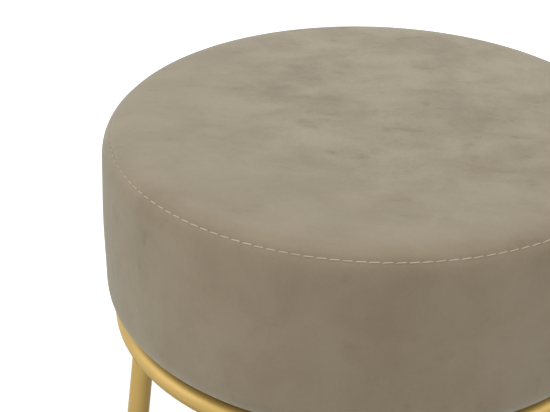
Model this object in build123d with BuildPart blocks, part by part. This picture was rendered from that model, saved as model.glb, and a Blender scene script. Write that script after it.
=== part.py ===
"""Round stool: a velvet drum seat, bolted to a tube hoop that stands on four splayed tube legs.

Millimetres, +Z up. The origin is on the floor under the middle of the seat, and the front faces -Y.
"""
import os
from math import asin, cos, degrees, radians, sin

from build123d import *

# Seat outline
overall_height = 450.0
seat_diameter = 400.0
seat_depth = 144.0  # from the top of the rounded edge down to the flat underside
crown_height = 4.0  # rise of the top panel's middle above its edge
top_edge_radius = 20.5
bottom_edge_radius = 22.5

# Cover and topstitch
cover_thickness = 1.5
seam_angle = 45.0  # where the seam lies on the rounded top edge, counted from straight up
seam_gap = 0.1
hem_width = 30.0  # cover turned in under the seat
stitch_length = 6.4
stitch_gap = 2.05
thread_diameter = 0.9
thread_sink = 0.2  # depth of the thread's centre line below the cover's face

# Padding and board
wadding_thickness = 6.0
topper_thickness = 35.0
board_thickness = 15.0
board_margin = 6.0  # from the rim of the flat underside in to the board's edge

# Dust cover and staples
dust_cover_thickness = 0.6
dust_cover_edge = 5.0  # from the dust cover's staples out to its rim
staple_wire = 0.7
staple_crown = 10.0
staple_leg = 8.0
staples_per_span = 7  # between two neighbouring tabs
hem_staple_edge = 6.0  # from the hem's raw edge out to its staples
staple_row_spacing = 7.0
staple_tab_room = 3.0

# Tube frame
tube_diameter = 16.0
tube_wall = 1.5
hoop_inset = 13.5  # from the seat's side in to the hoop's centre line
leg_splay = 6.6  # outward lean of a leg, in degrees
vent_diameter = 6.0  # hole in the hoop's wall above each leg
leg_azimuths = {"front_left": 225.0, "front_right": 315.0, "rear_right": 45.0, "rear_left": 135.0}

# Mounting tabs
tab_width = 24.0
tab_thickness = 3.0
tab_end = 12.0  # from the bolt in to the tab's inner end
tab_corner_radius = 8.0
tab_azimuths = {"right": 0.0, "rear": 90.0, "left": 180.0, "front": 270.0}

# Fasteners
bolt_diameter = 6.0
bolt_edge = 14.0  # from the board's edge in to the bolt circle
bolt_tip_room = 3.0  # from the bolt's tip up to the board's top
bolt_head_diameter = 10.5
bolt_head_height = 3.3
bolt_head_round = 1.5
socket_width = 4.0
socket_depth = 1.8
washer_diameter = 12.5
washer_thickness = 1.6
t_nut_wall = 1.0
t_nut_flange_diameter = 18.0
t_nut_flange_thickness = 1.2
t_nut_end_room = 4.5  # from the barrel's lower end down to the board's underside

# Feet
foot_height = 6.0
foot_overhang = 0.5  # pad's radius beyond the tube's
foot_plug_length = 20.0

# Clearances
fit_gap = 0.1  # between flat faces that bear on each other
soft_gap = 0.3  # round soft pieces, and between the hoop and the seat
weld_gap = 0.1
thread_gap = 0.05  # round a thread, whether sewn or cut
bolt_hole_gap = 0.3  # round a bolt where it passes freely
plug_gap = 0.15
staple_gap = 0.05

# Seat levels and radii that follow
seat_radius = seat_diameter / 2
rim_z = overall_height - crown_height
under_z = rim_z - seat_depth
edge_centre_r = seat_radius - top_edge_radius
edge_centre_z = rim_z - top_edge_radius
flat_radius = seat_radius - bottom_edge_radius
bottom_centre_z = under_z + bottom_edge_radius

# The crown is a dome that runs into the rounded edge without a corner
dome_reach = (edge_centre_r**2 + crown_height**2) / (2 * crown_height)
dome_radius = dome_reach + top_edge_radius
dome_centre_z = overall_height - dome_radius
dome_angle = degrees(asin(edge_centre_r / dome_reach))

# Layers under the cover
wadding_inset = cover_thickness + soft_gap
foam_inset = wadding_inset + wadding_thickness + soft_gap
foam_split_z = rim_z - foam_inset - topper_thickness
board_radius = flat_radius - board_margin
board_bottom_z = under_z + cover_thickness + fit_gap
board_top_z = board_bottom_z + board_thickness

# Underside, from the hem's raw edge outwards
hem_radius = flat_radius - hem_width
hem_staple_radius = hem_radius + hem_staple_edge
dust_staple_radius = hem_staple_radius + staple_row_spacing
dust_cover_radius = dust_staple_radius + dust_cover_edge
dust_top_z = under_z - fit_gap
dust_bottom_z = dust_top_z - dust_cover_thickness

# Frame
tube_radius = tube_diameter / 2
tube_bore_radius = tube_radius - tube_wall
hoop_radius = seat_radius - hoop_inset
hoop_z = under_z - soft_gap - tube_radius
leg_run = hoop_z / cos(radians(leg_splay))
tab_top_z = dust_bottom_z - fit_gap
tab_bottom_z = tab_top_z - tab_thickness

# Fastener stack, from the bolt's head up
bolt_count = len(tab_azimuths)
bolt_circle_radius = board_radius - bolt_edge
bolt_hole_radius = bolt_diameter / 2 + bolt_hole_gap
washer_top_z = tab_bottom_z - fit_gap
washer_bottom_z = washer_top_z - washer_thickness
head_top_z = washer_bottom_z - fit_gap
bolt_tip_z = board_top_z - bolt_tip_room
t_nut_bore_radius = bolt_diameter / 2 + thread_gap
t_nut_barrel_radius = t_nut_bore_radius + t_nut_wall
t_nut_top_z = board_top_z - fit_gap
t_nut_bottom_z = board_bottom_z + t_nut_end_room

# Topstitch
thread_radius = thread_diameter / 2
seam_radius = edge_centre_r + top_edge_radius * sin(radians(seam_angle))
stitch_count = round(radians(360) * seam_radius / (stitch_length + stitch_gap))
stitch_arc = degrees(stitch_length / seam_radius)
seam_half_gap = degrees(seam_gap / 2 / top_edge_radius)

os.makedirs("parts", exist_ok=True)


def around(centre_r, centre_z, radius, angle):
    """Point of the half section at an angle from straight up, on a circle about a centre."""
    return (centre_r + radius * sin(radians(angle)), centre_z + radius * cos(radians(angle)))


def dome_point(inset, angle):
    """Point on the crown, drawn in by inset."""
    return around(0, dome_centre_z, dome_radius - inset, angle)


def edge_point(inset, angle):
    """Point on the rounded top edge, drawn in by inset."""
    return around(edge_centre_r, edge_centre_z, top_edge_radius - inset, angle)


def bottom_point(inset, angle):
    """Point on the rounded bottom edge, drawn in by inset."""
    return around(flat_radius, bottom_centre_z, bottom_edge_radius - inset, angle)


def crown_line(inset, end_angle):
    """Crown and rounded top edge, from the middle of the top out to an angle on the edge."""
    ThreePointArc(dome_point(inset, 0), dome_point(inset, dome_angle / 2), dome_point(inset, dome_angle))
    middle = (dome_angle + end_angle) / 2
    ThreePointArc(edge_point(inset, dome_angle), edge_point(inset, middle), edge_point(inset, end_angle))


def side_line(inset, start_angle):
    """Side of the seat, from an angle on the top edge down and round to the flat underside."""
    middle = (start_angle + 90) / 2
    ThreePointArc(edge_point(inset, start_angle), edge_point(inset, middle), edge_point(inset, 90))
    Line(edge_point(inset, 90), bottom_point(inset, 90))
    ThreePointArc(bottom_point(inset, 90), bottom_point(inset, 135), bottom_point(inset, 180))


def drum_section(inset):
    """Half section of the whole seat, drawn in all round by inset."""
    with BuildSketch(Plane.XZ) as section:
        with BuildLine():
            crown_line(inset, 90)
            Line(edge_point(inset, 90), bottom_point(inset, 90))
            ThreePointArc(bottom_point(inset, 90), bottom_point(inset, 135), bottom_point(inset, 180))
            Polyline(bottom_point(inset, 180), (0, under_z + inset), dome_point(inset, 0))
        make_face()
    return section.sketch


def radial_plane(azimuth, height):
    """Level plane with its x axis pointing out from the seat's axis at an azimuth."""
    outward = (cos(radians(azimuth)), sin(radians(azimuth)), 0)
    return Plane(origin=(0, 0, height), x_dir=outward, z_dir=(0, 0, 1))


def leg_plane(azimuth):
    """Plane square to a leg, at the hoop's centre line, facing down along the leg."""
    turn = radians(azimuth)
    lean = radians(leg_splay)
    origin = (hoop_radius * cos(turn), hoop_radius * sin(turn), hoop_z)
    down = (sin(lean) * cos(turn), sin(lean) * sin(turn), -cos(lean))
    return Plane(origin=origin, x_dir=(-sin(turn), cos(turn), 0), z_dir=down)


def staple_row(radius, crown_z, grow=0.0):
    """Ring of staples driven upwards between the tabs, each swollen by grow to make its pocket."""
    span = 360 / bolt_count
    first = degrees(asin((tab_width / 2 + staple_crown / 2 + staple_tab_room) / radius))
    step = (span - 2 * first) / (staples_per_span - 1)
    turns_in_span = [first + step * place for place in range(staples_per_span)]
    angles = [span * side + turn for side in range(bolt_count) for turn in turns_in_span]
    spots = [Location((*around(0, 0, radius, 90 - turn), crown_z), (0, 0, turn)) for turn in angles]
    wire = staple_wire + 2 * grow
    leg_offset = (staple_crown - staple_wire) / 2
    upright = (Align.CENTER, Align.CENTER, Align.MIN)
    with BuildPart() as row:
        with Locations(*spots):
            with Locations((0, 0, -grow)):
                Box(wire, staple_crown + 2 * grow, wire, align=upright)
            with Locations((0, leg_offset, -grow), (0, -leg_offset, -grow)):
                Box(wire, wire, staple_leg + 2 * grow, align=upright)
    return row.part


# Staples, and the pockets that they press into the cover, the dust cover and the board
dust_staple_z = dust_bottom_z - staple_gap - staple_wire
hem_staple_pockets = staple_row(hem_staple_radius, under_z, staple_gap)
dust_staple_pockets = staple_row(dust_staple_radius, dust_staple_z, staple_gap)

hem_staples = staple_row(hem_staple_radius, under_z)
hem_staples.label = "hem_staples"
export_step(hem_staples, "parts/hem_staples.step")

dust_cover_staples = staple_row(dust_staple_radius, dust_staple_z)
dust_cover_staples.label = "dust_cover_staples"
export_step(dust_cover_staples, "parts/dust_cover_staples.step")

# Thread section on the seam, and the groove that the stitches lie in
with BuildSketch(Plane.XZ) as thread_section:
    with Locations(edge_point(thread_sink, seam_angle)):
        Circle(thread_radius)

with BuildSketch(Plane.XZ) as groove_section:
    with Locations(edge_point(thread_sink, seam_angle)):
        Circle(thread_radius + thread_gap)

# Cover's top panel: crowned, and turned over the edge as far as the seam
with BuildPart() as cover_top_panel:
    with BuildSketch(Plane.XZ):
        with BuildLine():
            seam_end = seam_angle - seam_half_gap
            crown_line(0, seam_end)
            Line(edge_point(0, seam_end), edge_point(cover_thickness, seam_end))
            crown_line(cover_thickness, seam_end)
            Line(dome_point(cover_thickness, 0), dome_point(0, 0))
        make_face()
    revolve(axis=Axis.Z)
    revolve(groove_section.sketch, axis=Axis.Z, mode=Mode.SUBTRACT)

cover_top_panel.part.label = "cover_top_panel"
export_step(cover_top_panel.part, "parts/cover_top_panel.step")

# Cover's side band: from the seam down the side, round the bottom edge and in to the hem
with BuildPart() as cover_side_band:
    with BuildSketch(Plane.XZ):
        with BuildLine():
            seam_start = seam_angle + seam_half_gap
            side_line(0, seam_start)
            hem_low = (hem_radius, under_z)
            hem_high = (hem_radius, under_z + cover_thickness)
            Polyline(bottom_point(0, 180), hem_low, hem_high, bottom_point(cover_thickness, 180))
            side_line(cover_thickness, seam_start)
            Line(edge_point(cover_thickness, seam_start), edge_point(0, seam_start))
        make_face()
    revolve(axis=Axis.Z)
    revolve(groove_section.sketch, axis=Axis.Z, mode=Mode.SUBTRACT)
    with BuildSketch(Plane.XY.offset(under_z)):
        with PolarLocations(bolt_circle_radius, bolt_count):
            Circle(bolt_hole_radius)
    extrude(amount=cover_thickness, mode=Mode.SUBTRACT)
    add(hem_staple_pockets, mode=Mode.SUBTRACT)
    add(dust_staple_pockets, mode=Mode.SUBTRACT)

cover_side_band.part.label = "cover_side_band"
export_step(cover_side_band.part, "parts/cover_side_band.step")

# Topstitch: short lengths of thread all round the seam
with BuildPart() as single_stitch:
    revolve(thread_section.sketch, axis=Axis.Z, revolution_arc=stitch_arc)

with BuildPart() as topstitch_thread:
    with PolarLocations(0, stitch_count):
        add(single_stitch.part)

topstitch_thread.part.label = "topstitch_thread"
export_step(topstitch_thread.part, "parts/topstitch_thread.step")

# Room that the padding leaves for the board
with BuildPart() as board_room:
    with BuildSketch(Plane.XY.offset(under_z)):
        Circle(board_radius + soft_gap)
    extrude(amount=board_top_z + fit_gap - under_z)

# Wadding wrapped round the foam, down to the board's edge
with BuildPart() as wadding_wrap:
    revolve(drum_section(wadding_inset), axis=Axis.Z)
    revolve(drum_section(wadding_inset + wadding_thickness), axis=Axis.Z, mode=Mode.SUBTRACT)
    add(board_room.part, mode=Mode.SUBTRACT)

wadding_wrap.part.label = "wadding_wrap"
export_step(wadding_wrap.part, "parts/wadding_wrap.step")

# Soft foam topper
with BuildPart() as foam_topper:
    revolve(drum_section(foam_inset), axis=Axis.Z)
    split(bisect_by=Plane.XY.offset(foam_split_z), keep=Keep.TOP)

foam_topper.part.label = "foam_topper"
export_step(foam_topper.part, "parts/foam_topper.step")

# Firm foam core, standing on the board and wrapped round its edge
with BuildPart() as foam_core:
    revolve(drum_section(foam_inset), axis=Axis.Z)
    split(bisect_by=Plane.XY.offset(foam_split_z - soft_gap), keep=Keep.BOTTOM)
    add(board_room.part, mode=Mode.SUBTRACT)

foam_core.part.label = "foam_core"
export_step(foam_core.part, "parts/foam_core.step")

# Plywood seat board with a stepped hole for each tee nut
with BuildPart() as seat_board:
    with BuildSketch(Plane.XY.offset(board_bottom_z)):
        Circle(board_radius)
    extrude(amount=board_thickness)
    with Locations((0, 0, board_top_z)):
        with PolarLocations(bolt_circle_radius, bolt_count):
            CounterBoreHole(
                radius=t_nut_barrel_radius + plug_gap,
                counter_bore_radius=t_nut_flange_diameter / 2 + plug_gap,
                counter_bore_depth=t_nut_flange_thickness + 2 * fit_gap,
            )
    add(hem_staple_pockets, mode=Mode.SUBTRACT)
    add(dust_staple_pockets, mode=Mode.SUBTRACT)

seat_board.part.label = "seat_board"
export_step(seat_board.part, "parts/seat_board.step")

# Tee nuts, flange up, let into the top of the board
with BuildPart() as t_nuts:
    with BuildSketch(Plane.XY.offset(t_nut_top_z)):
        with PolarLocations(bolt_circle_radius, bolt_count):
            Circle(t_nut_flange_diameter / 2)
    extrude(amount=-t_nut_flange_thickness)
    with BuildSketch(Plane.XY.offset(t_nut_bottom_z)):
        with PolarLocations(bolt_circle_radius, bolt_count):
            Circle(t_nut_barrel_radius)
    extrude(amount=t_nut_top_z - t_nut_bottom_z)
    with BuildSketch(Plane.XY.offset(t_nut_bottom_z)):
        with PolarLocations(bolt_circle_radius, bolt_count):
            Circle(t_nut_bore_radius)
    extrude(amount=t_nut_top_z - t_nut_bottom_z, mode=Mode.SUBTRACT)

t_nuts.part.label = "t_nuts"
export_step(t_nuts.part, "parts/t_nuts.step")

# Dust cover stapled over the hem
with BuildPart() as dust_cover:
    with BuildSketch(Plane.XY.offset(dust_bottom_z)):
        Circle(dust_cover_radius)
        with PolarLocations(bolt_circle_radius, bolt_count):
            Circle(bolt_hole_radius, mode=Mode.SUBTRACT)
    extrude(amount=dust_cover_thickness)
    add(dust_staple_pockets, mode=Mode.SUBTRACT)

dust_cover.part.label = "dust_cover"
export_step(dust_cover.part, "parts/dust_cover.step")

# Hoop of bent tube, vented into each leg
with BuildPart() as hoop:
    with BuildSketch(Plane.XZ):
        with Locations((hoop_radius, hoop_z)):
            Circle(tube_radius)
            Circle(tube_bore_radius, mode=Mode.SUBTRACT)
    revolve(axis=Axis.Z)
    for azimuth in leg_azimuths.values():
        with BuildSketch(leg_plane(azimuth)):
            Circle(vent_diameter / 2)
        extrude(amount=tube_diameter, mode=Mode.SUBTRACT)

hoop.part.label = "hoop"
export_step(hoop.part, "parts/hoop.step")

# Ring that copes the legs and the tabs to the hoop
with BuildPart() as hoop_room:
    with BuildSketch(Plane.XZ):
        with Locations((hoop_radius, hoop_z)):
            Circle(tube_radius + weld_gap)
    revolve(axis=Axis.Z)

# Legs: tube coped under the hoop and cut level above its foot
for name, azimuth in leg_azimuths.items():
    with BuildPart() as leg:
        with BuildSketch(leg_plane(azimuth)):
            Circle(tube_radius)
            Circle(tube_bore_radius, mode=Mode.SUBTRACT)
        extrude(amount=leg_run)
        split(bisect_by=Plane.XY.offset(foot_height + fit_gap), keep=Keep.TOP)
        add(hoop_room.part, mode=Mode.SUBTRACT)

    leg.part.label = f"leg_{name}"
    export_step(leg.part, f"parts/leg_{name}.step")

# Feet: a plug inside the tube on a pad that is cut level with the floor
for name, azimuth in leg_azimuths.items():
    with BuildPart() as foot:
        with BuildSketch(leg_plane(azimuth)):
            Circle(tube_radius + foot_overhang)
        extrude(amount=leg_run + tube_diameter)
        split(bisect_by=Plane.XY.offset(foot_height), keep=Keep.BOTTOM)
        with BuildSketch(leg_plane(azimuth).offset(leg_run - foot_height - foot_plug_length)):
            Circle(tube_bore_radius - plug_gap)
        extrude(amount=foot_plug_length + foot_height)
        split(bisect_by=Plane.XY, keep=Keep.TOP)

    foot.part.label = f"foot_{name}"
    export_step(foot.part, f"parts/foot_{name}.step")

# Mounting tabs welded inside the hoop, under the board
tab_length = hoop_radius - bolt_circle_radius + tab_end
for name, azimuth in tab_azimuths.items():
    with BuildPart() as tab:
        with BuildSketch(radial_plane(azimuth, tab_bottom_z)) as tab_outline:
            with Locations((hoop_radius - tab_length / 2, 0)):
                Rectangle(tab_length, tab_width)
            inner_corners = tab_outline.vertices().sort_by_distance((0, 0, tab_bottom_z))[:2]
            fillet(inner_corners, min(tab_corner_radius, tab_width / 2 - fit_gap))
            with Locations((bolt_circle_radius, 0)):
                Circle(bolt_hole_radius, mode=Mode.SUBTRACT)
        extrude(amount=tab_thickness)
        add(hoop_room.part, mode=Mode.SUBTRACT)

    tab.part.label = f"tab_{name}"
    export_step(tab.part, f"parts/tab_{name}.step")

# Washers between the bolt heads and the tabs
with BuildPart() as washers:
    with BuildSketch(Plane.XY.offset(washer_bottom_z)):
        with PolarLocations(bolt_circle_radius, bolt_count):
            Circle(washer_diameter / 2)
            Circle(bolt_hole_radius, mode=Mode.SUBTRACT)
    extrude(amount=washer_thickness)

washers.part.label = "washers"
export_step(washers.part, "parts/washers.step")

# Button-head bolts, driven up through the tabs into the tee nuts
with BuildPart() as mounting_bolts:
    with BuildSketch(Plane.XY.offset(head_top_z)):
        with PolarLocations(bolt_circle_radius, bolt_count):
            Circle(bolt_head_diameter / 2)
    extrude(amount=-bolt_head_height)
    fillet(mounting_bolts.edges().group_by(Axis.Z)[0], bolt_head_round)
    with BuildSketch(Plane.XY.offset(head_top_z)):
        with PolarLocations(bolt_circle_radius, bolt_count):
            Circle(bolt_diameter / 2)
    extrude(amount=bolt_tip_z - head_top_z)
    with BuildSketch(Plane.XY.offset(head_top_z - bolt_head_height)):
        with PolarLocations(bolt_circle_radius, bolt_count):
            RegularPolygon(socket_width / 2, 6, major_radius=False)
    extrude(amount=socket_depth, mode=Mode.SUBTRACT)

mounting_bolts.part.label = "mounting_bolts"
export_step(mounting_bolts.part, "parts/mounting_bolts.step")
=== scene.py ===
"""Looks of the round velvet stool, built around its frame of solids, in metres, front towards -Y."""
from math import acos, asin, cos, pi, radians, sin, tau

import bmesh
import bpy
import numpy as np
from mathutils import Matrix, Vector, noise


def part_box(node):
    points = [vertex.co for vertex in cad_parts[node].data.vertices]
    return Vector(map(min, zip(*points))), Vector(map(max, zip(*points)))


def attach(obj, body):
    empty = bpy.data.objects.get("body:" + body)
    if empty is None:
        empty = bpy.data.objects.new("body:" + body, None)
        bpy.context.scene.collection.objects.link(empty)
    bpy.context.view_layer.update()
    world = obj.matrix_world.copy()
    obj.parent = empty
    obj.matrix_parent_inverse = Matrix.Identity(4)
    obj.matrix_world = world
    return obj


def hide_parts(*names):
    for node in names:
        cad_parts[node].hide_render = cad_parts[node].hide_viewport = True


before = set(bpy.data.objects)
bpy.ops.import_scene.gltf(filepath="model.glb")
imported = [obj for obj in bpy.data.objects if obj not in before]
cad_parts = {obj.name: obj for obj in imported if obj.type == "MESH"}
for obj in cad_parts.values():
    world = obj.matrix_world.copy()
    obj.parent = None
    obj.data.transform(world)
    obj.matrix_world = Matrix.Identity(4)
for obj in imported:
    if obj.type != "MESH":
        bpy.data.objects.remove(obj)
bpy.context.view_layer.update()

# Seat outline, from the frame
SEAT_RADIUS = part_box("cover_side_band")[1].x
UNDER_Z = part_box("cover_side_band")[0].z
CROWN_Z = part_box("cover_top_panel")[1].z
DUST_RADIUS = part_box("dust_cover")[1].x
DUST_LOW_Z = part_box("dust_cover")[0].z
DUST_TOP_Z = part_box("dust_cover")[1].z
WADDING_LOW_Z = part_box("wadding_wrap")[0].z
FOAM_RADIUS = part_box("foam_core")[1].x
FOAM_LOW_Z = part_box("foam_core")[0].z
FOAM_SPLIT_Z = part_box("foam_topper")[0].z

# Seat outline, sizes of its own
CROWN_RISE = 0.004
TOP_EDGE = 0.0205
BOTTOM_EDGE = 0.0225
COVER_THICKNESS = 0.0015
HEM_WIDTH = 0.030
SEAM_ANGLE = radians(45)
RIM_Z = CROWN_Z - CROWN_RISE
EDGE_R = SEAT_RADIUS - TOP_EDGE
EDGE_Z = RIM_Z - TOP_EDGE
FLAT_R = SEAT_RADIUS - BOTTOM_EDGE
BOTTOM_Z = UNDER_Z + BOTTOM_EDGE
HEM_R = FLAT_R - HEM_WIDTH
DOME_REACH = (EDGE_R**2 + CROWN_RISE**2) / (2 * CROWN_RISE)
DOME_RADIUS = DOME_REACH + TOP_EDGE
DOME_ANGLE = asin(EDGE_R / DOME_REACH)

# Seam, drawn in along its line and more at each needle hole
SEAM_R = EDGE_R + TOP_EDGE * sin(SEAM_ANGLE)
SEAM_Z = EDGE_Z + TOP_EDGE * cos(SEAM_ANGLE)
SEAM_DEPTH = 0.00035
SEAM_WIDTH = 0.0024
HOLE_DEPTH = 0.00015
HOLE_WIDTH = 0.0016

# Topstitch: its stitches, and how they lie
STITCH_COUNT = 144
STITCH_PITCH = tau / STITCH_COUNT
STITCH_PHASE = radians(-0.27)
STITCH_LENGTH = 0.0075
STITCH_PROUD = 0.00012
STITCH_DIP = 0.0009
STITCH_TAPER = 0.35
STITCH_SLANT = 0.00016
STITCH_WANDER = 0.00012
STITCH_ROWS = 13
STITCH_SIDES = 10

# Topstitch: its three-ply thread, and where it sinks deeper into the nap
THREAD_RADIUS = 0.00035
PLY_RELIEF = 0.13
PLY_TWIST = 9.0
SINK_TURN = radians(195)
SINK_DEPTH = 0.0006
SINK_FALL = 1.5

# Cover's mesh: points around, rings down the half section, and the angles of those by the seam
AROUND = STITCH_COUNT
PATCH_R = 0.125
CROWN_RINGS = 9
SIDE_RINGS = 15
BOTTOM_RINGS = 8
HEM_RINGS = 7
SEAM_STEPS = (-0.55, -0.38, -0.22, -0.10, 0.0, 0.10, 0.22, 0.38, 0.55)
SIDE_BULGE = 0.0009

# Cover's swelling: the simulation, where the cloth is held, the foam's hold, and the most that a point moves
SIM_FRAMES = 20
PRESSURE = 4.0
HELD_REACH = 0.0005
HELD_SHARE = 0.35
FOAM_HOLD = 0.18
FOAM_UNEVEN = 0.35
FOAM_UNEVEN_FINE = 0.2
FOAM_LUMPS = 13.0
FOAM_LUMPS_FINE = 31.0
START_INSET = 0.001
START_WIDTH = 0.04
SWELL_CAP = 0.0016

# Gathers in the hem
GATHERS = 61
GATHER_WANDER = 7
GATHER_RISE = 0.0007
GATHER_START = 0.006
GATHER_WIDTH = 0.02
GATHER_LEVEL = 0.004

# Closing seam of the band, at the rear
REAR_SEAM_DEPTH = 0.0010
REAR_SEAM_WIDTH = 0.0013
REAR_SEAM_CUTS = (-0.0035, -0.0020, -0.0010, -0.0004, 0.0004, 0.0010, 0.0020, 0.0035)
REAR_CUT_REACH = 0.012
REAR_PULL_REACH = 0.01

# Padding under the cover
WADDING_INSET = 0.0024
WADDING_THICKNESS = 0.0055
FOAM_INSET = SEAT_RADIUS - FOAM_RADIUS

# Dust cover: sag in the middle, and ripples between the staples
DUST_SAG = 0.0022
DUST_FLAT_R = 0.145
DUST_UNEVEN = 0.15
DUST_LUMPS = 22.0
DUST_RIPPLE = 0.0003
DUST_RIPPLE_R = 0.10
DUST_STAPLES = 28

# Velvet: its darkest and lightest nap, its sheen, and the scales of its marks per metre
VELVET_DARK = (0.250, 0.189, 0.124, 1)
VELVET_LIGHT = (0.374, 0.305, 0.216, 1)
VELVET_SHEEN = 0.34
VELVET_SHEEN_ROUGH = 0.55
VELVET_SHEEN_TINT = (0.90, 1.0, 0.90, 1)
CLOUD_SCALE = 9.0
BLOTCH_SCALE = 30.0
BLOTCH_STRETCH = (0.8, 1.0, 0.7)
STROKE_SCALE = 85.0
STROKE_STRETCH = (0.42, 1.0, 0.6)
GRAIN_SCALE = 520.0
FIBRE_SCALE = 1900.0

# Nap: the way it is brushed, about the upright axis, and where on the top it is most disturbed
NAP_TURN = radians(-14)
NAP_MIDDLE = (0.03, 0.06, 0.45)
NAP_REACH = (0.12, 0.20)

# Thread, and its paler lengths
THREAD = ((0.50, 0.42, 0.29, 1), (0.68, 0.585, 0.43, 1))
THREAD_PALE = (0.76, 0.67, 0.51, 1)

# Satin gold, a metallic lacquer
GOLD_DARK = (0.500, 0.337, 0.097, 1)
GOLD_LIGHT = (0.550, 0.376, 0.114, 1)
GOLD_ROUGH = 0.52
GOLD_METALLIC = 0.5

# Other finishes, dark and light
ZINC = ((0.46, 0.47, 0.48, 1), (0.66, 0.67, 0.68, 1))
PLASTIC = ((0.012, 0.012, 0.012, 1), (0.045, 0.044, 0.042, 1))
VENEER = ((0.42, 0.27, 0.14, 1), (0.70, 0.52, 0.32, 1))
VENEER_LAYER = (0.36, 0.22, 0.11, 1)
DUST_CLOTH = ((0.010, 0.010, 0.011, 1), (0.030, 0.030, 0.032, 1))
DUST_FLUFF = (0.05, 0.05, 0.05, 1)
WADDING = ((0.74, 0.74, 0.72, 1), (0.92, 0.92, 0.90, 1))
SOFT_FOAM = ((0.68, 0.61, 0.43, 1), (0.88, 0.82, 0.64, 1))
FIRM_FOAM = ((0.50, 0.48, 0.43, 1), (0.72, 0.70, 0.64, 1))

# Cells of the padding per metre
WADDING_CELLS = 260.0
SOFT_FOAM_CELLS = 900.0
FIRM_FOAM_CELLS = 700.0

# Soft boxes: place, size, power and colour
LIGHT_TARGET = (0, 0, 0.38)
LIGHTS = {
    "top": ((0.0, 0.74, 1.97), 1.1, 15.8, (0.97, 1.0, 1.05)),
    "left": ((-1.49, -0.54, 1.12), 1.1, 11.6, (1, 1, 1)),
    "front": ((0.0, -1.69, 0.83), 1.1, 10.2, (1, 1, 1)),
    "right": ((1.52, 0.0, 1.26), 1.1, 9.8, (1, 1, 1)),
}

# Surround: its brighter side and its levels as light, where it isn't seen or reflected
BRIGHT_SIDE = (-0.80, 0.35, 0.48)
SURROUND_LOW = 0.14
SURROUND_HIGH = 0.25

# Floor: size, colours, and the distances over which it fades to white, towards the back and all round
FLOOR_SIZE = 6.0
FLOOR_DROP = 0.0003
FLOOR_DARK = (0.46, 0.46, 0.455, 1)
FLOOR_LIGHT = (0.49, 0.49, 0.485, 1)
FLOOR_BACK = (-0.10, 0.40)
FLOOR_BACK_LIFT = 0.85
FLOOR_FAR = (0.35, 0.95)
FLOOR_FAR_LIFT = 0.97
FLOOR_BLEND = 0.4

# Camera of the photograph
PHOTO_WIDTH = 550
FOCAL_PIXELS = 1586.9
SENSOR_WIDTH = 36.0
CAMERA_PLACE = Vector((0.2671, -1.0216, 0.9488))
CAMERA_HEADING = radians(18.556)
CAMERA_PITCH = radians(28.630)
CAMERA_ROLL = radians(0.728)


# Node helpers


def new_material(name):
    """Material with an empty tree, its output and its main shader."""
    material = bpy.data.materials.new(name)
    material.use_nodes = True
    tree = material.node_tree
    tree.nodes.clear()
    output = tree.nodes.new("ShaderNodeOutputMaterial")
    shader = tree.nodes.new("ShaderNodeBsdfPrincipled")
    tree.links.new(shader.outputs["BSDF"], output.inputs["Surface"])
    return material, tree, shader


def make(tree, kind, **values):
    """Node of a kind, with the named inputs set to a value or linked to a socket."""
    item = tree.nodes.new(kind)
    for name, value in values.items():
        put(tree, item, name.replace("_", " "), value)
    return item


def put(tree, item, name, value):
    """Set one input of a node, by its name or place, or link a socket to it."""
    socket = item.inputs[name]
    if isinstance(value, bpy.types.NodeSocket):
        tree.links.new(value, socket)
    else:
        socket.default_value = value


def object_coordinates(tree, stretch=(1, 1, 1), turn=0.0):
    """Coordinates in metres in the stool's frame, turned about the upright axis and stretched."""
    place = tree.nodes.new("ShaderNodeTexCoord")
    turned = make(tree, "ShaderNodeMapping", Vector=place.outputs["Object"], Rotation=(0, 0, turn))
    mapping = make(tree, "ShaderNodeMapping", Vector=turned.outputs["Vector"], Scale=stretch)
    return mapping.outputs["Vector"]


def noise_field(tree, coordinates, scale, detail=2.0, rough=0.5, distortion=0.0):
    """Noise value from 0 to 1."""
    field = make(tree, "ShaderNodeTexNoise", Vector=coordinates, Scale=scale, Detail=detail)
    put(tree, field, "Roughness", rough)
    put(tree, field, "Distortion", distortion)
    return field.outputs["Fac"]


def remap(tree, value, low, high, to_low=0.0, to_high=1.0):
    """Value taken from one range to another and held within it."""
    item = make(tree, "ShaderNodeMapRange", Value=value, From_Min=low, From_Max=high)
    put(tree, item, "To Min", to_low)
    put(tree, item, "To Max", to_high)
    return item.outputs["Result"]


def math_node(tree, operation, *terms, kind="ShaderNodeMath"):
    """Number that one sum gives."""
    item = tree.nodes.new(kind)
    item.operation = operation
    for place, term in enumerate(terms):
        put(tree, item, place, term)
    return item.outputs["Value"]


def vector_node(tree, operation, *terms):
    """Number that one sum on vectors gives."""
    return math_node(tree, operation, *terms, kind="ShaderNodeVectorMath")


def mix_colour(tree, share, first, second):
    """Colour between two others."""
    item = tree.nodes.new("ShaderNodeMix")
    item.data_type = "RGBA"
    for place, value in ((0, share), (6, first), (7, second)):
        put(tree, item, place, value)
    return item.outputs[2]


def bump(tree, height, strength, distance, below=None):
    """Normal pushed about by a height field, over another normal if there is one."""
    item = make(tree, "ShaderNodeBump", Strength=strength, Distance=distance, Height=height)
    if below is not None:
        put(tree, item, "Normal", below)
    return item.outputs["Normal"]


# Materials


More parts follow.
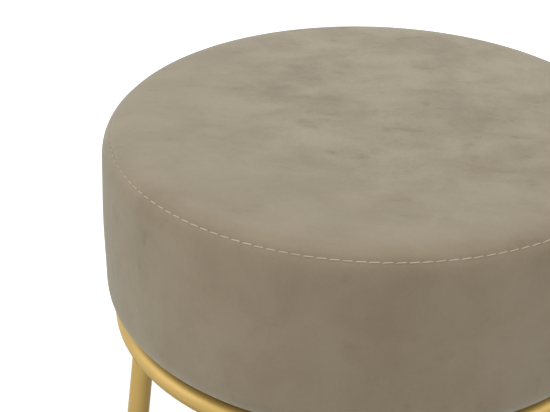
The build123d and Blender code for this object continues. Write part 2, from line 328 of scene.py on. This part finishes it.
def velvet_material():
    """Short-pile velvet: nap in blotches with dark strokes, fine fibre, and sheen at glancing angles."""
    material, tree, shader = new_material("taupe_velvet")
    plain = object_coordinates(tree)
    brushed = object_coordinates(tree, BLOTCH_STRETCH, NAP_TURN)
    stroked = object_coordinates(tree, STROKE_STRETCH, NAP_TURN)
    clouds = noise_field(tree, plain, CLOUD_SCALE, detail=2.0, rough=0.5, distortion=0.2)
    blotches = noise_field(tree, brushed, BLOTCH_SCALE, detail=8.0, rough=0.62, distortion=0.25)
    strokes = noise_field(tree, stroked, STROKE_SCALE, detail=6.0, rough=0.6, distortion=0.4)
    grain = noise_field(tree, plain, GRAIN_SCALE, detail=3.0, rough=0.6)
    fibre = noise_field(tree, plain, FIBRE_SCALE, detail=2.0, rough=0.6)
    blotch = remap(tree, blotches, 0.36, 0.62, -0.5, 0.5)
    gather = remap(tree, blotches, 0.40, 0.56, 1.0, 0.15)
    stroke = math_node(tree, "MULTIPLY", remap(tree, strokes, 0.28, 0.43, -1.3, 0.0), gather)
    shade = math_node(tree, "ADD", remap(tree, clouds, 0.3, 0.7, -0.3, 0.3), blotch)
    shade = math_node(tree, "ADD", shade, stroke)
    shade = math_node(tree, "ADD", shade, remap(tree, grain, 0.3, 0.7, -0.22, 0.22))
    shade = math_node(tree, "ADD", shade, remap(tree, fibre, 0.3, 0.7, -0.2, 0.2))
    upright = tree.nodes.new("ShaderNodeSeparateXYZ")
    put(tree, upright, "Vector", tree.nodes.new("ShaderNodeTexCoord").outputs["Normal"])
    flat = remap(tree, upright.outputs["Z"], 0.2, 0.9, 0.0, 1.0)
    worked = remap(tree, vector_node(tree, "DISTANCE", plain, NAP_MIDDLE), *NAP_REACH, 0.65, 0.0)
    stir = math_node(tree, "MULTIPLY_ADD", flat, worked, 0.55)
    share = remap(tree, math_node(tree, "MULTIPLY", shade, stir), -1.0, 1.0)
    put(tree, shader, "Base Color", mix_colour(tree, share, VELVET_DARK, VELVET_LIGHT))
    put(tree, shader, "Roughness", remap(tree, fibre, 0.2, 0.8, 0.78, 0.95))
    put(tree, shader, "Specular IOR Level", 0.15)
    put(tree, shader, "Sheen Weight", VELVET_SHEEN)
    put(tree, shader, "Sheen Roughness", VELVET_SHEEN_ROUGH)
    put(tree, shader, "Sheen Tint", VELVET_SHEEN_TINT)
    normal = bump(tree, blotches, 0.25, 0.003)
    normal = bump(tree, fibre, 0.25, 0.0003, normal)
    put(tree, shader, "Normal", normal)
    return material


def thread_material():
    """Twisted beige sewing thread."""
    material, tree, shader = new_material("beige_thread")
    fibre = noise_field(tree, object_coordinates(tree), 2600.0, detail=2.0, rough=0.6)
    uneven = noise_field(tree, object_coordinates(tree), 90.0)
    colour = mix_colour(tree, fibre, *THREAD)
    colour = mix_colour(tree, remap(tree, uneven, 0.4, 0.6, 0.0, 0.4), colour, THREAD_PALE)
    put(tree, shader, "Base Color", colour)
    put(tree, shader, "Roughness", remap(tree, fibre, 0.2, 0.8, 0.5, 0.75))
    put(tree, shader, "Sheen Weight", 0.1)
    put(tree, shader, "Normal", bump(tree, fibre, 0.4, 0.0001))
    return material


def gold_material():
    """Satin gold lacquer on steel tube, a little uneven and finely grained."""
    material, tree, shader = new_material("satin_gold")
    plain = object_coordinates(tree)
    uneven = noise_field(tree, plain, 38.0, detail=4.0, rough=0.6)
    grain = noise_field(tree, plain, 900.0, detail=3.0, rough=0.6)
    share = remap(tree, uneven, 0.3, 0.7)
    put(tree, shader, "Base Color", mix_colour(tree, share, GOLD_DARK, GOLD_LIGHT))
    put(tree, shader, "Metallic", GOLD_METALLIC)
    worn = remap(tree, uneven, 0.3, 0.7, GOLD_ROUGH - 0.03, GOLD_ROUGH + 0.03)
    speckle = remap(tree, grain, 0.3, 0.7, -0.04, 0.04)
    put(tree, shader, "Roughness", math_node(tree, "ADD", worn, speckle))
    put(tree, shader, "Normal", bump(tree, grain, 0.06, 0.0002))
    return material


def zinc_material():
    """Zinc-plated steel of the fasteners."""
    material, tree, shader = new_material("zinc_steel")
    plain = object_coordinates(tree)
    spangle = noise_field(tree, plain, 420.0, detail=3.0, rough=0.6)
    put(tree, shader, "Base Color", mix_colour(tree, spangle, *ZINC))
    put(tree, shader, "Metallic", 1.0)
    put(tree, shader, "Roughness", remap(tree, spangle, 0.3, 0.7, 0.28, 0.46))
    put(tree, shader, "Normal", bump(tree, spangle, 0.1, 0.0002))
    return material


def plastic_material():
    """Black moulded plastic of the feet, with a fine spark texture and scuffs."""
    material, tree, shader = new_material("black_plastic")
    plain = object_coordinates(tree)
    grain = noise_field(tree, plain, 1500.0, detail=2.0, rough=0.6)
    scuff = noise_field(tree, plain, 160.0, detail=4.0, rough=0.7)
    worn = remap(tree, scuff, 0.55, 0.75, 0.0, 0.5)
    put(tree, shader, "Base Color", mix_colour(tree, worn, *PLASTIC))
    put(tree, shader, "Roughness", remap(tree, grain, 0.3, 0.7, 0.42, 0.62))
    put(tree, shader, "Normal", bump(tree, grain, 0.2, 0.0002))
    return material


def plywood_material():
    """Plywood: long-grained face veneer, and layers at the edge."""
    material, tree, shader = new_material("plywood")
    along = object_coordinates(tree, (1.0, 14.0, 1.0))
    grain = noise_field(tree, along, 22.0, detail=6.0, rough=0.6, distortion=0.6)
    layers = tree.nodes.new("ShaderNodeTexWave")
    layers.bands_direction = "Z"
    put(tree, layers, "Vector", object_coordinates(tree))
    put(tree, layers, "Scale", 52.0)
    put(tree, layers, "Distortion", 0.6)
    layer = remap(tree, layers.outputs["Fac"], 0.4, 0.6, 0.0, 0.45)
    face = mix_colour(tree, grain, *VENEER)
    put(tree, shader, "Base Color", mix_colour(tree, layer, face, VENEER_LAYER))
    put(tree, shader, "Roughness", remap(tree, grain, 0.2, 0.8, 0.55, 0.75))
    put(tree, shader, "Normal", bump(tree, grain, 0.2, 0.0005))
    return material


def dust_cloth_material():
    """Black spunbond cloth: pressed dots over tangled fibre."""
    material, tree, shader = new_material("black_dust_cloth")
    plain = object_coordinates(tree)
    dots = make(tree, "ShaderNodeTexVoronoi", Vector=plain, Scale=420.0, Randomness=0.15)
    pressed = remap(tree, dots.outputs["Distance"], 0.18, 0.34)
    fibre = noise_field(tree, plain, 1300.0, detail=4.0, rough=0.7, distortion=1.5)
    colour = mix_colour(tree, pressed, *DUST_CLOTH)
    colour = mix_colour(tree, remap(tree, fibre, 0.45, 0.7, 0.0, 0.5), colour, DUST_FLUFF)
    put(tree, shader, "Base Color", colour)
    put(tree, shader, "Roughness", remap(tree, pressed, 0.0, 1.0, 0.55, 0.85))
    put(tree, shader, "Sheen Weight", 0.2)
    put(tree, shader, "Normal", bump(tree, fibre, 0.3, 0.0002, bump(tree, pressed, 0.5, 0.0003)))
    return material


def foam_material(name, dark, light, cell_scale):
    """Open-celled foam or wadding."""
    material, tree, shader = new_material(name)
    plain = object_coordinates(tree)
    cells = make(tree, "ShaderNodeTexVoronoi", Vector=plain, Scale=cell_scale)
    pores = remap(tree, cells.outputs["Distance"], 0.1, 0.6)
    stain = remap(tree, noise_field(tree, plain, 18.0, detail=3.0), 0.4, 0.8, 0.0, 0.3)
    colour = mix_colour(tree, pores, dark, light)
    put(tree, shader, "Base Color", mix_colour(tree, stain, colour, dark))
    put(tree, shader, "Roughness", remap(tree, pores, 0.0, 1.0, 0.8, 0.98))
    put(tree, shader, "Normal", bump(tree, pores, 0.5, 0.0008))
    return material


# Mesh helpers


def new_object(name, points, faces, material):
    """Mesh object with smooth faces."""
    mesh = bpy.data.meshes.new(name)
    mesh.from_pydata([tuple(p) for p in points], [], faces)
    mesh.polygons.foreach_set("use_smooth", [True] * len(mesh.polygons))
    mesh.update()
    made = bpy.data.objects.new(name, mesh)
    bpy.context.scene.collection.objects.link(made)
    if material is not None:
        mesh.materials.append(material)
    return made


def coordinates_of(mesh):
    """Vertex coordinates as an array of rows."""
    flat = np.zeros(len(mesh.vertices) * 3)
    mesh.vertices.foreach_get("co", flat)
    return flat.reshape(-1, 3)


def normals_of(mesh):
    """Vertex normals as an array of rows."""
    flat = np.zeros(len(mesh.vertices) * 3)
    mesh.vertices.foreach_get("normal", flat)
    return flat.reshape(-1, 3)


def set_coordinates(mesh, points):
    """Move a mesh's vertices to new rows of coordinates."""
    mesh.vertices.foreach_set("co", np.asarray(points, np.float32).ravel())
    mesh.update()


def applied(made):
    """Replace an object's mesh with what its modifiers make of it."""
    graph = bpy.context.evaluated_depsgraph_get()
    mesh = bpy.data.meshes.new_from_object(made.evaluated_get(graph))
    made.modifiers.clear()
    made.data = mesh
    return made


def smooth_noise(points, scale, seed):
    """Soft noise from -1 to 1 at each row of points."""
    shift = Vector((seed * 3.7, seed * 5.3, seed * 1.9))
    return np.array([noise.noise(Vector(p) * scale + shift) for p in points])


def arc(centre_r, centre_z, radius, angles):
    """Points of the half section on a circle, at angles from straight up."""
    return [(centre_r + radius * sin(a), centre_z + radius * cos(a)) for a in angles]


def disc_patch(radius, height_at):
    """Grid of quads squeezed into a disc. Gives its points, its faces and its rim of AROUND points."""
    side = AROUND // 4
    points = []
    for j in range(side + 1):
        for i in range(side + 1):
            a, b = 2 * i / side - 1, 2 * j / side - 1
            reach, turn = square_to_disc(a, b)
            r = radius * reach
            points.append((r * cos(turn), r * sin(turn), height_at(r)))
    faces = []
    for j in range(side):
        for i in range(side):
            k = j * (side + 1) + i
            faces.append((k, k + 1, k + side + 2, k + side + 1))
    return points, faces, patch_rim(side)


def square_to_disc(a, b):
    """Radius and angle of a square's point, spread evenly over the unit disc."""
    if a == 0 and b == 0:
        return 0.0, 0.0
    if abs(a) > abs(b):
        return abs(a), (pi / 4) * (b / a) + (0 if a > 0 else pi)
    return abs(b), pi / 2 - (pi / 4) * (a / b) + (0 if b > 0 else pi)


def patch_rim(side):
    """Indices of a patch's rim, counter-clockwise, from the corner at minus 45 degrees."""
    row = side + 1
    right = [j * row + side for j in range(side)]
    back = [side * row + i for i in range(side, 0, -1)]
    left = [j * row for j in range(side, 0, -1)]
    front = list(range(side))
    return right + back + left + front


def strip(rim, ring):
    """Quads between two rings of AROUND indices."""
    following = [(k + 1) % AROUND for k in range(AROUND)]
    return [(rim[k], ring[k], ring[n], rim[n]) for k, n in enumerate(following)]


def turned(height_at, rings, closed=False):
    """Points and faces of a disc patch carried on by rings round the axis, and closed below if asked."""
    points, faces, rim = disc_patch(PATCH_R, height_at)
    for r, z in rings:
        ring = list(range(len(points), len(points) + AROUND))
        turns = [-pi / 4 + k * tau / AROUND for k in range(AROUND)]
        points += [(r * cos(turn), r * sin(turn), z) for turn in turns]
        faces += strip(rim, ring)
        rim = ring
    if closed:
        start = len(points)
        base, base_faces, base_rim = disc_patch(PATCH_R, lambda r: rings[-1][1])
        points += base
        faces += [tuple(start + i for i in reversed(quad)) for quad in base_faces]
        faces += strip(rim, [start + i for i in base_rim])
    return points, faces


# Seat cover


def dome_height(r, inset=0.0):
    """Height of the crown at a radius, or of a surface at an inset below it."""
    return CROWN_Z - DOME_RADIUS + ((DOME_RADIUS - inset) ** 2 - r**2) ** 0.5


def crown_rings(inset=0.0):
    """Half section of the crown from the top's patch to the start of the edge."""
    dome_end = EDGE_R + (TOP_EDGE - inset) * sin(DOME_ANGLE)
    return [(r, dome_height(r, inset)) for r in np.linspace(PATCH_R, dome_end, CROWN_RINGS)[1:]]


def cover_rings():
    """Half section of the cover outside the top's patch: crown, edge, side, bottom edge and hem."""
    edge = arc(EDGE_R, EDGE_Z, TOP_EDGE, [SEAM_ANGLE + s for s in SEAM_STEPS] + [pi / 2])
    side = [
        (SEAT_RADIUS + SIDE_BULGE * sin(pi * t) ** 2, EDGE_Z + (BOTTOM_Z - EDGE_Z) * t)
        for t in np.linspace(0, 1, SIDE_RINGS)[1:]
    ]
    bottom = arc(FLAT_R, BOTTOM_Z, BOTTOM_EDGE, np.linspace(pi / 2, pi, BOTTOM_RINGS)[1:])
    hem = [(r, UNDER_Z) for r in np.linspace(FLAT_R, HEM_R, HEM_RINGS)[1:]]
    return crown_rings() + edge + side + bottom + hem


def half_section(points):
    """Radius, height and turn of each row of points."""
    return np.hypot(points[:, 0], points[:, 1]), points[:, 2], np.arctan2(points[:, 1], points[:, 0])


def swell(cushion):
    """Swell the cover a little with a cloth simulation, held at the seam and below, and backed by foam."""
    mesh = cushion.data
    outline = coordinates_of(mesh)
    r, z, _ = half_section(outline)
    held = (np.hypot(r - SEAM_R, z - SEAM_Z) < HELD_REACH) | (z < UNDER_Z + HELD_SHARE * BOTTOM_EDGE)
    coarse = FOAM_UNEVEN * smooth_noise(outline, FOAM_LUMPS, 1)
    fine = FOAM_UNEVEN_FINE * smooth_noise(outline, FOAM_LUMPS_FINE, 2)
    foam = FOAM_HOLD * (1 + coarse + fine)
    group = cushion.vertex_groups.new(name="held")
    for k, weight in enumerate(np.where(held, 1.0, np.clip(foam, 0.0, 1.0))):
        group.add([k], float(weight), "REPLACE")
    inset = START_INSET * np.clip((EDGE_R - r) / START_WIDTH, 0, 1) * (z > EDGE_Z)
    set_coordinates(mesh, outline - normals_of(mesh) * inset[:, None])
    cloth = cushion.modifiers.new("swell", "CLOTH")
    settings = cloth.settings
    settings.quality = 6
    settings.mass = 0.3
    settings.tension_stiffness = 25
    settings.compression_stiffness = 25
    settings.shear_stiffness = 10
    settings.bending_stiffness = 2.0
    settings.vertex_group_mass = "held"
    settings.pin_stiffness = 1.0
    settings.use_pressure = True
    settings.uniform_pressure_force = PRESSURE
    settings.effector_weights.gravity = 0.0
    cloth.collision_settings.use_collision = False
    cloth.point_cache.frame_end = SIM_FRAMES
    for step in range(1, SIM_FRAMES + 1):
        bpy.context.scene.frame_set(step)
    graph = bpy.context.evaluated_depsgraph_get()
    move = coordinates_of(cushion.evaluated_get(graph).data) - outline
    cushion.modifiers.clear()
    bpy.context.scene.frame_set(1)
    length = np.linalg.norm(move, axis=1)
    share = np.tanh(length / SWELL_CAP) * SWELL_CAP / np.maximum(length, 1e-9)
    set_coordinates(mesh, outline + move * share[:, None])


def sew(mesh):
    """Draw the cover in along the seam, deeper at each needle hole, and gather the hem."""
    points = coordinates_of(mesh)
    r, z, turn = half_section(points)
    away = np.hypot(r - SEAM_R, z - SEAM_Z)
    hole = 0.5 + 0.5 * np.cos((turn - STITCH_PHASE) * STITCH_COUNT)
    depth = SEAM_DEPTH * np.exp(-((away / SEAM_WIDTH) ** 2))
    depth += HOLE_DEPTH * hole * np.exp(-((away / HOLE_WIDTH) ** 2))
    level = -sin(SEAM_ANGLE)
    down = np.full_like(r, -cos(SEAM_ANGLE))
    towards = np.stack([np.cos(turn) * level, np.sin(turn) * level, down], 1)
    under = np.clip((FLAT_R + GATHER_START - r) / GATHER_WIDTH, 0, 1) * (z < UNDER_Z + GATHER_LEVEL)
    ripple = np.sin(turn * GATHERS + 2.0 * np.sin(turn * GATHER_WANDER)) * 0.5 + 0.5
    lift = np.zeros_like(points)
    lift[:, 2] = GATHER_RISE * under * ripple
    set_coordinates(mesh, points + towards * depth[:, None] + lift)


def thicken(made, thickness):
    """Give a surface a thickness on its inner side."""
    shell = made.modifiers.new("thickness", "SOLIDIFY")
    shell.thickness = thickness
    shell.offset = -1


def part_of(mesh, name, keep):
    """Object with the faces of a mesh for which keep is true, as a shell of the cover's thickness."""
    made = bpy.data.objects.new(name, mesh.copy())
    bpy.context.scene.collection.objects.link(made)
    work = bmesh.new()
    work.from_mesh(made.data)
    unwanted = [f for f in work.faces if not keep(f.calc_center_median())]
    bmesh.ops.delete(work, geom=unwanted, context="FACES")
    work.to_mesh(made.data)
    work.free()
    thicken(made, COVER_THICKNESS)
    return made


def by_rear_seam(point, reach):
    """Whether a point of the band lies near its closing seam."""
    return point.y > 0 and abs(point.x) < reach


def close_band(mesh):
    """Draw the band in along an upright line at the rear, where its two ends are sewn together."""
    work = bmesh.new()
    work.from_mesh(mesh)
    for place in REAR_SEAM_CUTS:
        near = [f for f in work.faces if by_rear_seam(f.calc_center_median(), REAR_CUT_REACH)]
        edges = list({e for f in near for e in f.edges})
        corners = list({v for f in near for v in f.verts})
        cut = {"plane_co": (place, 0, 0), "plane_no": (1, 0, 0), "dist": 0.00002}
        bmesh.ops.bisect_plane(work, geom=near + edges + corners, **cut)
    work.normal_update()
    outward = {v: v.normal.copy() for v in work.verts if by_rear_seam(v.co, REAR_PULL_REACH)}
    for corner, normal in outward.items():
        corner.co -= normal * REAR_SEAM_DEPTH * np.exp(-abs(corner.co.x) / REAR_SEAM_WIDTH)
    work.to_mesh(mesh)
    work.free()


def above_seam(point):
    """Whether a point of the cover lies on the top panel's side of the seam."""
    r = (point.x**2 + point.y**2) ** 0.5
    return np.arctan2(r - EDGE_R, point.z - EDGE_Z) < SEAM_ANGLE and point.z > EDGE_Z


def make_cover(material):
    """Top panel and side band, swollen as one cushion and then parted at the seam."""
    cushion = new_object("cushion", *turned(dome_height, cover_rings()), material)
    swell(cushion)
    cushion.modifiers.new("smooth", "SUBSURF").levels = 1
    applied(cushion)
    sew(cushion.data)
    top = part_of(cushion.data, "seat_top_panel", above_seam)
    band = part_of(cushion.data, "seat_side_band", lambda p: not above_seam(p))
    close_band(band.data)
    bpy.data.objects.remove(cushion)
    for piece, node in ((top, "cover_top_panel"), (band, "cover_side_band")):
        place_piece(piece, node)


def place_piece(piece, node):
    """Put a piece in the place of a solid, on the one body of the stool."""
    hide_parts(node)
    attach(piece, "root")


# Padding and dust cover


def upper_edge(inset):
    """Half section of the top edge at an inset from the cover's outline."""
    return arc(EDGE_R, EDGE_Z, TOP_EDGE - inset, np.linspace(DOME_ANGLE, pi / 2, 9)[1:])


def lower_edge(inset, low_z):
    """Half section of the bottom edge at an inset from the cover's outline, down to a height."""
    radius = BOTTOM_EDGE - inset
    end = acos(max((low_z - BOTTOM_Z) / radius, -1.0))
    return arc(FLAT_R, BOTTOM_Z, radius, np.linspace(pi / 2, end, 8)[1:])


def side_rings(radius, top, bottom, count):
    """Half section of an upright side."""
    return [(radius, z) for z in np.linspace(top, bottom, count)]


def level_rings(radius, z):
    """Half section of a level face, in to the patch."""
    return [(r, z) for r in np.linspace(radius, PATCH_R, 5)[1:-1]]


def make_padding():
    """Wadding wrapped over a soft foam topper on a firm foam core."""
    wadding = foam_material("white_wadding", *WADDING, WADDING_CELLS)
    soft = foam_material("cream_foam", *SOFT_FOAM, SOFT_FOAM_CELLS)
    firm = foam_material("grey_foam", *FIRM_FOAM, FIRM_FOAM_CELLS)

    wrap_rings = crown_rings(WADDING_INSET) + upper_edge(WADDING_INSET)
    wrap_rings += side_rings(SEAT_RADIUS - WADDING_INSET, EDGE_Z, BOTTOM_Z, 12)[1:]
    wrap_rings += lower_edge(WADDING_INSET, WADDING_LOW_Z)
    wrap_form = turned(lambda r: dome_height(r, WADDING_INSET), wrap_rings)
    wrap = new_object("wadding", *wrap_form, wadding)
    thicken(wrap, WADDING_THICKNESS)

    topper_rings = crown_rings(FOAM_INSET) + upper_edge(FOAM_INSET)
    topper_rings += side_rings(FOAM_RADIUS, EDGE_Z, FOAM_SPLIT_Z, 4)[1:]
    topper_rings += level_rings(FOAM_RADIUS, FOAM_SPLIT_Z)
    topper_form = turned(lambda r: dome_height(r, FOAM_INSET), topper_rings, closed=True)
    topper = new_object("soft_foam", *topper_form, soft)

    core_rings = level_rings(FOAM_RADIUS, FOAM_SPLIT_Z)[::-1]
    core_rings += side_rings(FOAM_RADIUS, FOAM_SPLIT_Z, BOTTOM_Z, 10)
    core_rings += lower_edge(FOAM_INSET, FOAM_LOW_Z)
    core_rings += level_rings(core_rings[-1][0], FOAM_LOW_Z)
    core = new_object("firm_foam", *turned(lambda r: FOAM_SPLIT_Z, core_rings, closed=True), firm)

    places = (
        (wrap, "wadding_wrap", "wadding"),
        (topper, "foam_topper", "soft_foam"),
        (core, "foam_core", "firm_foam"),
    )
    for piece, node, slot in places:
        place_piece(piece, node)


def make_dust_cover(material):
    """Black cloth stapled flat round the rim, slack in the middle and rippled between the staples."""
    rings = [(r, DUST_TOP_Z) for r in np.linspace(PATCH_R, DUST_RADIUS, 13)[1:]]
    cloth = new_object("dust_cloth", *turned(lambda r: DUST_TOP_Z, rings), material)
    points = coordinates_of(cloth.data)
    r, _, turn = half_section(points)
    sag = DUST_SAG * np.clip(1 - (r / DUST_FLAT_R) ** 2, 0, 1)
    reach = np.clip((r - DUST_RIPPLE_R) / (DUST_RADIUS - DUST_RIPPLE_R), 0, 1)
    ripple = DUST_RIPPLE * reach * (0.5 - 0.5 * np.cos(turn * DUST_STAPLES)) * np.sin(2 * turn) ** 2
    points[:, 2] -= sag + ripple + DUST_UNEVEN * sag * smooth_noise(points, DUST_LUMPS, 5)
    set_coordinates(cloth.data, points)
    thicken(cloth, DUST_TOP_Z - DUST_LOW_Z)
    place_piece(cloth, "dust_cover")


# Topstitch


def stitch_rows(middle_turn, slant):
    """One stitch of thread, out of its needle hole and in again, deeper in the nap on the left."""
    along, sides = STITCH_ROWS, STITCH_SIDES
    half = STITCH_LENGTH / 2 / SEAM_R
    sunk = SINK_DEPTH * max(cos(middle_turn - SINK_TURN), 0.0) ** SINK_FALL
    points, faces = [], []
    for i in range(along):
        u = 2 * i / (along - 1) - 1
        end = abs(u) ** 6
        turn = middle_turn + half * u
        lift = -SEAM_DEPTH + STITCH_PROUD - sunk - STITCH_DIP * end
        drift = slant * u
        outward = Vector((cos(turn) * sin(SEAM_ANGLE), sin(turn) * sin(SEAM_ANGLE), cos(SEAM_ANGLE)))
        upward = Vector((-cos(turn) * cos(SEAM_ANGLE), -sin(turn) * cos(SEAM_ANGLE), sin(SEAM_ANGLE)))
        centre = Vector((SEAM_R * cos(turn), SEAM_R * sin(turn), SEAM_Z))
        centre += outward * lift + upward * drift
        for k in range(sides):
            angle = tau * k / sides
            ply = 1 + PLY_RELIEF * cos(3 * angle - PLY_TWIST * u)
            reach = THREAD_RADIUS * ply * (1 - STITCH_TAPER * end)
            points.append(centre + (outward * cos(angle) + upward * sin(angle)) * reach)
    for i in range(along - 1):
        for k in range(sides):
            n = (k + 1) % sides
            faces.append((i * sides + k, i * sides + n, (i + 1) * sides + n, (i + 1) * sides + k))
    faces.append(tuple(range(sides - 1, -1, -1)))
    faces.append(tuple((along - 1) * sides + k for k in range(sides)))
    return points, faces


def make_topstitch(material):
    """All the stitches round the seam, each with a slight slant of its own."""
    points, faces = [], []
    for k in range(STITCH_COUNT):
        middle = STITCH_PHASE + (k + 0.5) * STITCH_PITCH
        slant = STITCH_SLANT + STITCH_WANDER * noise.noise(Vector((k * 0.37, 4.1, 0.2)))
        rows, quads = stitch_rows(middle, slant)
        faces += [tuple(i + len(points) for i in quad) for quad in quads]
        points += rows
    place_piece(new_object("topstitch", points, faces, material), "topstitch_thread")


def dress_nodes():
    """Finish of each solid that stays in view."""
    tubes = ["hoop"] + [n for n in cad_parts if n.startswith(("leg_", "tab_"))]
    feet = [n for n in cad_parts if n.startswith("foot_")]
    fasteners = ["mounting_bolts", "washers", "t_nuts", "hem_staples", "dust_cover_staples"]
    finishes = (
        (gold_material(), tubes),
        (zinc_material(), fasteners),
        (plastic_material(), feet),
        (plywood_material(), ["seat_board"]),
    )
    for material, names in finishes:
        for name in names:
            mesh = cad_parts[name].data
            mesh.materials.clear()
            mesh.materials.append(material)


# Stage, light and camera


def seen_ray(tree):
    """1 for the rays that show the surroundings: camera, glossy and transmission."""
    path = tree.nodes.new("ShaderNodeLightPath")
    total = math_node(tree, "ADD", path.outputs["Is Camera Ray"], path.outputs["Is Glossy Ray"])
    total = math_node(tree, "ADD", total, path.outputs["Is Transmission Ray"])
    return math_node(tree, "MINIMUM", total, 1.0)


def make_stage():
    """Pale floor that fades to white and keeps the shadow, in a surround brighter on the left."""
    corners = [(FLOOR_SIZE * x, FLOOR_SIZE * y, 0) for x, y in ((-1, -1), (1, -1), (1, 1), (-1, 1))]
    floor = new_object("floor", corners, [(0, 1, 2, 3)], None)
    floor.location.z = -FLOOR_DROP
    material, tree, shader = new_material("pale_floor")
    plain = object_coordinates(tree)
    tone = noise_field(tree, plain, 3.0)
    behind = vector_node(tree, "DOT_PRODUCT", plain, (-sin(CAMERA_HEADING), cos(CAMERA_HEADING), 0))
    back = remap(tree, behind, *FLOOR_BACK, 0.0, FLOOR_BACK_LIFT)
    far = remap(tree, vector_node(tree, "LENGTH", plain), *FLOOR_FAR, 0.0, FLOOR_FAR_LIFT)
    fade = math_node(tree, "SMOOTH_MAX", back, far, FLOOR_BLEND)
    put(tree, shader, "Base Color", mix_colour(tree, tone, FLOOR_DARK, FLOOR_LIGHT))
    put(tree, shader, "Roughness", 0.9)
    put(tree, shader, "Emission Color", (1, 1, 1, 1))
    put(tree, shader, "Emission Strength", math_node(tree, "MULTIPLY", seen_ray(tree), fade))
    floor.data.materials.append(material)

    world = bpy.data.worlds.new("surround")
    bpy.context.scene.world = world
    world.use_nodes = True
    tree = world.node_tree
    background = tree.nodes["Background"]
    direction = tree.nodes.new("ShaderNodeTexCoord").outputs["Generated"]
    towards = vector_node(tree, "DOT_PRODUCT", direction, BRIGHT_SIDE)
    level = remap(tree, towards, -1.0, 1.0, SURROUND_LOW, SURROUND_HIGH)
    put(tree, background, "Color", (1, 1, 1, 1))
    put(tree, background, "Strength", math_node(tree, "MAXIMUM", level, seen_ray(tree)))


def make_lights():
    """Square soft boxes aimed at the seat."""
    for name, (place, size, power, colour) in LIGHTS.items():
        data = bpy.data.lights.new(name, "AREA")
        data.energy = power
        data.size = size
        data.color = colour
        lamp = bpy.data.objects.new(name, data)
        lamp.location = place
        lamp.rotation_euler = (Vector(LIGHT_TARGET) - Vector(place)).to_track_quat("-Z", "Y").to_euler()
        bpy.context.scene.collection.objects.link(lamp)


def make_camera():
    """Camera where the photograph was taken from."""
    data = bpy.data.cameras.new("photo_camera")
    data.sensor_width = SENSOR_WIDTH
    data.lens = FOCAL_PIXELS / PHOTO_WIDTH * SENSOR_WIDTH
    camera = bpy.data.objects.new("photo_camera", data)
    turn = Matrix.Rotation(CAMERA_HEADING, 4, "Z") @ Matrix.Rotation(pi / 2 - CAMERA_PITCH, 4, "X")
    camera.matrix_world = Matrix.Translation(CAMERA_PLACE) @ turn @ Matrix.Rotation(CAMERA_ROLL, 4, "Z")
    bpy.context.scene.collection.objects.link(camera)
    bpy.context.scene.camera = camera


bpy.context.scene.view_settings.view_transform = "Standard"
make_camera()
make_stage()
make_lights()
make_cover(velvet_material())
make_topstitch(thread_material())
make_padding()
make_dust_cover(dust_cloth_material())
dress_nodes()
